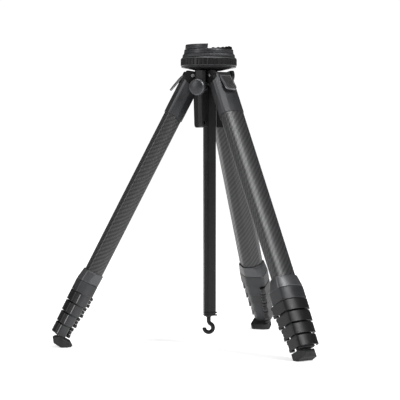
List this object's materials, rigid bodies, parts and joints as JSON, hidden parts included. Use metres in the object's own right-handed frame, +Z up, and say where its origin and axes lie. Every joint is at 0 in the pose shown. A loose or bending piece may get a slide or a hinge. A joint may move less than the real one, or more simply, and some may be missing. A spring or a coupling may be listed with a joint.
{
  "type": "camera tripod",
  "caption": "Compact travel tripod: spread legs of nested tubes with lever clamps, a centre column with a hook below, and a low ball head with a clamp for a camera plate.",
  "frame": {"origin": "centre of the bounding box of the standing tripod, on the floor; the column's axis is 41.6 mm along +X from it", "axes": "+Z up along the centre column; leg a points along -X, leg b towards -60 degrees and leg c towards +60 degrees from +X"},
  "size_m": [0.287, 0.328, 0.352],
  "materials": {
    "carbon_fibre": "woven carbon tube under a thin satin lacquer",
    "grey_anodised": "charcoal anodised, satin",
    "black_anodised": "black anodised, satin",
    "bright_steel": "turned, bright",
    "rubber": "matt moulded rubber"
  },
  "bodies": {
    "hub": {"hub": "black_anodised", "leg_a_pivot_pin": "bright_steel", "leg_b_pivot_pin": "bright_steel", "leg_c_pivot_pin": "bright_steel"},
    "leg_a_upper": {"leg_a_casting": "grey_anodised", "leg_a_tube_1": "carbon_fibre", "leg_a_collar_1": "grey_anodised"},
    "leg_a_section_2": {"leg_a_tube_2": "carbon_fibre", "leg_a_collar_2": "grey_anodised"},
    "leg_a_section_3": {"leg_a_tube_3": "carbon_fibre", "leg_a_collar_3": "grey_anodised"},
    "leg_a_section_4": {"leg_a_tube_4": "carbon_fibre", "leg_a_collar_4": "grey_anodised"},
    "leg_a_section_5": {"leg_a_tube_5": "carbon_fibre", "leg_a_foot": "rubber"},
    "leg_a_lever_1": {"leg_a_lever_1": "black_anodised"},
    "leg_a_lever_2": {"leg_a_lever_2": "black_anodised"},
    "leg_a_lever_3": {"leg_a_lever_3": "black_anodised"},
    "leg_a_lever_4": {"leg_a_lever_4": "black_anodised"},
    "leg_a_tab": {"leg_a_angle_tab": "grey_anodised"},
    "leg_b_upper": {"leg_b_casting": "grey_anodised", "leg_b_tube_1": "carbon_fibre", "leg_b_collar_1": "grey_anodised"},
    "leg_b_section_2": {"leg_b_tube_2": "carbon_fibre", "leg_b_collar_2": "grey_anodised"},
    "leg_b_section_3": {"leg_b_tube_3": "carbon_fibre", "leg_b_collar_3": "grey_anodised"},
    "leg_b_section_4": {"leg_b_tube_4": "carbon_fibre", "leg_b_collar_4": "grey_anodised"},
    "leg_b_section_5": {"leg_b_tube_5": "carbon_fibre", "leg_b_foot": "rubber"},
    "leg_b_lever_1": {"leg_b_lever_1": "black_anodised"},
    "leg_b_lever_2": {"leg_b_lever_2": "black_anodised"},
    "leg_b_lever_3": {"leg_b_lever_3": "black_anodised"},
    "leg_b_lever_4": {"leg_b_lever_4": "black_anodised"},
    "leg_b_tab": {"leg_b_angle_tab": "grey_anodised"},
    "leg_c_upper": {"leg_c_casting": "grey_anodised", "leg_c_tube_1": "carbon_fibre", "leg_c_collar_1": "grey_anodised"},
    "leg_c_section_2": {"leg_c_tube_2": "carbon_fibre", "leg_c_collar_2": "grey_anodised"},
    "leg_c_section_3": {"leg_c_tube_3": "carbon_fibre", "leg_c_collar_3": "grey_anodised"},
    "leg_c_section_4": {"leg_c_tube_4": "carbon_fibre", "leg_c_collar_4": "grey_anodised"},
    "leg_c_section_5": {"leg_c_tube_5": "carbon_fibre", "leg_c_foot": "rubber"},
    "leg_c_lever_1": {"leg_c_lever_1": "black_anodised"},
    "leg_c_lever_2": {"leg_c_lever_2": "black_anodised"},
    "leg_c_lever_3": {"leg_c_lever_3": "black_anodised"},
    "leg_c_lever_4": {"leg_c_lever_4": "black_anodised"},
    "leg_c_tab": {"leg_c_angle_tab": "grey_anodised"},
    "column": {"column_tube": "black_anodised"},
    "hook": {"hook": "black_anodised"},
    "column_knob": {"column_knob": "grey_anodised"},
    "ball_stem": {"ball_stem": "bright_steel"},
    "head_body": {"head_body": "grey_anodised"},
    "adjust_ring": {"adjust_ring": "black_anodised"},
    "lock_ring": {"lock_ring": "grey_anodised"},
    "moving_jaw": {"moving_jaw": "black_anodised"}
  },
  "joints": [
    {"name": "leg_a_swing", "type": "hinge", "parent": "hub", "child": "leg_a_upper", "pos_m": [0.0211, 0, 0.31552], "axis": [0, 1, 0], "range_deg": [-25.9, 46]},
    {"name": "leg_a_extend_2", "type": "slide", "parent": "leg_a_upper", "child": "leg_a_section_2", "axis": [-0.4555, 0, -0.8902], "range_m": [0, 0.255]},
    {"name": "leg_a_extend_3", "type": "slide", "parent": "leg_a_section_2", "child": "leg_a_section_3", "axis": [-0.4555, 0, -0.8902], "range_m": [0, 0.255]},
    {"name": "leg_a_extend_4", "type": "slide", "parent": "leg_a_section_3", "child": "leg_a_section_4", "axis": [-0.4555, 0, -0.8902], "range_m": [0, 0.255]},
    {"name": "leg_a_extend_5", "type": "slide", "parent": "leg_a_section_4", "child": "leg_a_section_5", "axis": [-0.4555, 0, -0.8902], "range_m": [0, 0.255]},
    {"name": "leg_a_lever_1_open", "type": "hinge", "parent": "leg_a_upper", "child": "leg_a_lever_1", "pos_m": [-0.09887, 0.0146, 0.04991], "axis": [-0.4555, 0, -0.8902], "range_deg": [0, 110]},
    {"name": "leg_a_lever_2_open", "type": "hinge", "parent": "leg_a_section_2", "child": "leg_a_lever_2", "pos_m": [-0.10649, 0.01345, 0.03831], "axis": [-0.4555, 0, -0.8902], "range_deg": [0, 110]},
    {"name": "leg_a_lever_3_open", "type": "hinge", "parent": "leg_a_section_3", "child": "leg_a_lever_3", "pos_m": [-0.11411, 0.0123, 0.02671], "axis": [-0.4555, 0, -0.8902], "range_deg": [0, 110]},
    {"name": "leg_a_lever_4_open", "type": "hinge", "parent": "leg_a_section_4", "child": "leg_a_lever_4", "pos_m": [-0.12173, 0.01115, 0.01511], "axis": [-0.4555, 0, -0.8902], "range_deg": [0, 110]},
    {"name": "leg_a_tab_pull", "type": "hinge", "parent": "leg_a_upper", "child": "leg_a_tab", "pos_m": [0.01184, 0, 0.31521], "axis": [0, 1, 0], "range_deg": [0, 20], "stiffness_Nm_per_rad": 0.05, "springref_deg": -17.19},
    {"name": "leg_b_swing", "type": "hinge", "parent": "hub", "child": "leg_b_upper", "pos_m": [0.05185, -0.01775, 0.31552], "axis": [-0.866, -0.5, 0], "range_deg": [-25.9, 46]},
    {"name": "leg_b_extend_2", "type": "slide", "parent": "leg_b_upper", "child": "leg_b_section_2", "axis": [0.2278, -0.3945, -0.8902], "range_m": [0, 0.255]},
    {"name": "leg_b_extend_3", "type": "slide", "parent": "leg_b_section_2", "child": "leg_b_section_3", "axis": [0.2278, -0.3945, -0.8902], "range_m": [0, 0.255]},
    {"name": "leg_b_extend_4", "type": "slide", "parent": "leg_b_section_3", "child": "leg_b_section_4", "axis": [0.2278, -0.3945, -0.8902], "range_m": [0, 0.255]},
    {"name": "leg_b_extend_5", "type": "slide", "parent": "leg_b_section_4", "child": "leg_b_section_5", "axis": [0.2278, -0.3945, -0.8902], "range_m": [0, 0.255]},
    {"name": "leg_b_lever_1_open", "type": "hinge", "parent": "leg_b_upper", "child": "leg_b_lever_1", "pos_m": [0.09919, -0.12895, 0.04991], "axis": [0.2278, -0.3945, -0.8902], "range_deg": [0, 110]},
    {"name": "leg_b_lever_2_open", "type": "hinge", "parent": "leg_b_section_2", "child": "leg_b_lever_2", "pos_m": [0.104, -0.13498, 0.03831], "axis": [0.2278, -0.3945, -0.8902], "range_deg": [0, 110]},
    {"name": "leg_b_lever_3_open", "type": "hinge", "parent": "leg_b_section_3", "child": "leg_b_lever_3", "pos_m": [0.1088, -0.141, 0.02671], "axis": [0.2278, -0.3945, -0.8902], "range_deg": [0, 110]},
    {"name": "leg_b_lever_4_open", "type": "hinge", "parent": "leg_b_section_4", "child": "leg_b_lever_4", "pos_m": [0.11361, -0.14703, 0.01511], "axis": [0.2278, -0.3945, -0.8902], "range_deg": [0, 110]},
    {"name": "leg_b_tab_pull", "type": "hinge", "parent": "leg_b_upper", "child": "leg_b_tab", "pos_m": [0.05648, -0.02577, 0.31521], "axis": [-0.866, -0.5, 0], "range_deg": [0, 20], "stiffness_Nm_per_rad": 0.05, "springref_deg": -17.19},
    {"name": "leg_c_swing", "type": "hinge", "parent": "hub", "child": "leg_c_upper", "pos_m": [0.05185, 0.01775, 0.31552], "axis": [0.866, -0.5, 0], "range_deg": [-25.9, 46]},
    {"name": "leg_c_extend_2", "type": "slide", "parent": "leg_c_upper", "child": "leg_c_section_2", "axis": [0.2278, 0.3945, -0.8902], "range_m": [0, 0.255]},
    {"name": "leg_c_extend_3", "type": "slide", "parent": "leg_c_section_2", "child": "leg_c_section_3", "axis": [0.2278, 0.3945, -0.8902], "range_m": [0, 0.255]},
    {"name": "leg_c_extend_4", "type": "slide", "parent": "leg_c_section_3", "child": "leg_c_section_4", "axis": [0.2278, 0.3945, -0.8902], "range_m": [0, 0.255]},
    {"name": "leg_c_extend_5", "type": "slide", "parent": "leg_c_section_4", "child": "leg_c_section_5", "axis": [0.2278, 0.3945, -0.8902], "range_m": [0, 0.255]},
    {"name": "leg_c_lever_1_open", "type": "hinge", "parent": "leg_c_upper", "child": "leg_c_lever_1", "pos_m": [0.12448, 0.11435, 0.04991], "axis": [0.2278, 0.3945, -0.8902], "range_deg": [0, 110]},
    {"name": "leg_c_lever_2_open", "type": "hinge", "parent": "leg_c_section_2", "child": "leg_c_lever_2", "pos_m": [0.12729, 0.12152, 0.03831], "axis": [0.2278, 0.3945, -0.8902], "range_deg": [0, 110]},
    {"name": "leg_c_lever_3_open", "type": "hinge", "parent": "leg_c_section_3", "child": "leg_c_lever_3", "pos_m": [0.13011, 0.1287, 0.02671], "axis": [0.2278, 0.3945, -0.8902], "range_deg": [0, 110]},
    {"name": "leg_c_lever_4_open", "type": "hinge", "parent": "leg_c_section_4", "child": "leg_c_lever_4", "pos_m": [0.13292, 0.13588, 0.01511], "axis": [0.2278, 0.3945, -0.8902], "range_deg": [0, 110]},
    {"name": "leg_c_tab_pull", "type": "hinge", "parent": "leg_c_upper", "child": "leg_c_tab", "pos_m": [0.05648, 0.02577, 0.31521], "axis": [0.866, -0.5, 0], "range_deg": [0, 20], "stiffness_Nm_per_rad": 0.05, "springref_deg": -17.19},
    {"name": "column_slide", "type": "slide", "parent": "hub", "child": "column", "axis": [0, 0, 1], "range_m": [0, 0.215]},
    {"name": "hook_twist", "type": "hinge", "parent": "column", "child": "hook", "pos_m": [0.0416, 0, 0.036], "axis": [0, 0, 1], "range_deg": [0, 60]},
    {"name": "column_knob_turn", "type": "hinge", "parent": "hub", "child": "column_knob", "pos_m": [0.0266, -0.02598, 0.30152], "axis": [-0.5, -0.866, 0], "range_deg": [0, 360]},
    {"name": "head_pan", "type": "hinge", "parent": "column", "child": "ball_stem", "pos_m": [0.0416, 0, 0.33402], "axis": [0, 0, 1], "continuous": true},
    {"name": "head_tilt", "type": "hinge", "parent": "ball_stem", "child": "head_body", "pos_m": [0.0416, 0, 0.33402], "axis": [1, 0, 0], "range_deg": [-5, 5]},
    {"name": "adjust_ring_turn", "type": "hinge", "parent": "head_body", "child": "adjust_ring", "pos_m": [0.0416, 0, 0.3314], "axis": [0, 0, 1], "range_deg": [0, 90]},
    {"name": "lock_ring_turn", "type": "hinge", "parent": "head_body", "child": "lock_ring", "pos_m": [0.0416, 0, 0.3421], "axis": [0, 0, 1], "range_deg": [0, 30]},
    {"name": "moving_jaw_slide", "type": "slide", "parent": "head_body", "child": "moving_jaw", "axis": [0.7431, 0.6691, 0], "range_m": [0, 0.0025]}
  ],
  "couplings": [
    {"joint": "moving_jaw_slide", "follows": "lock_ring_turn", "m_per_rad": 0.00477}
  ]
}
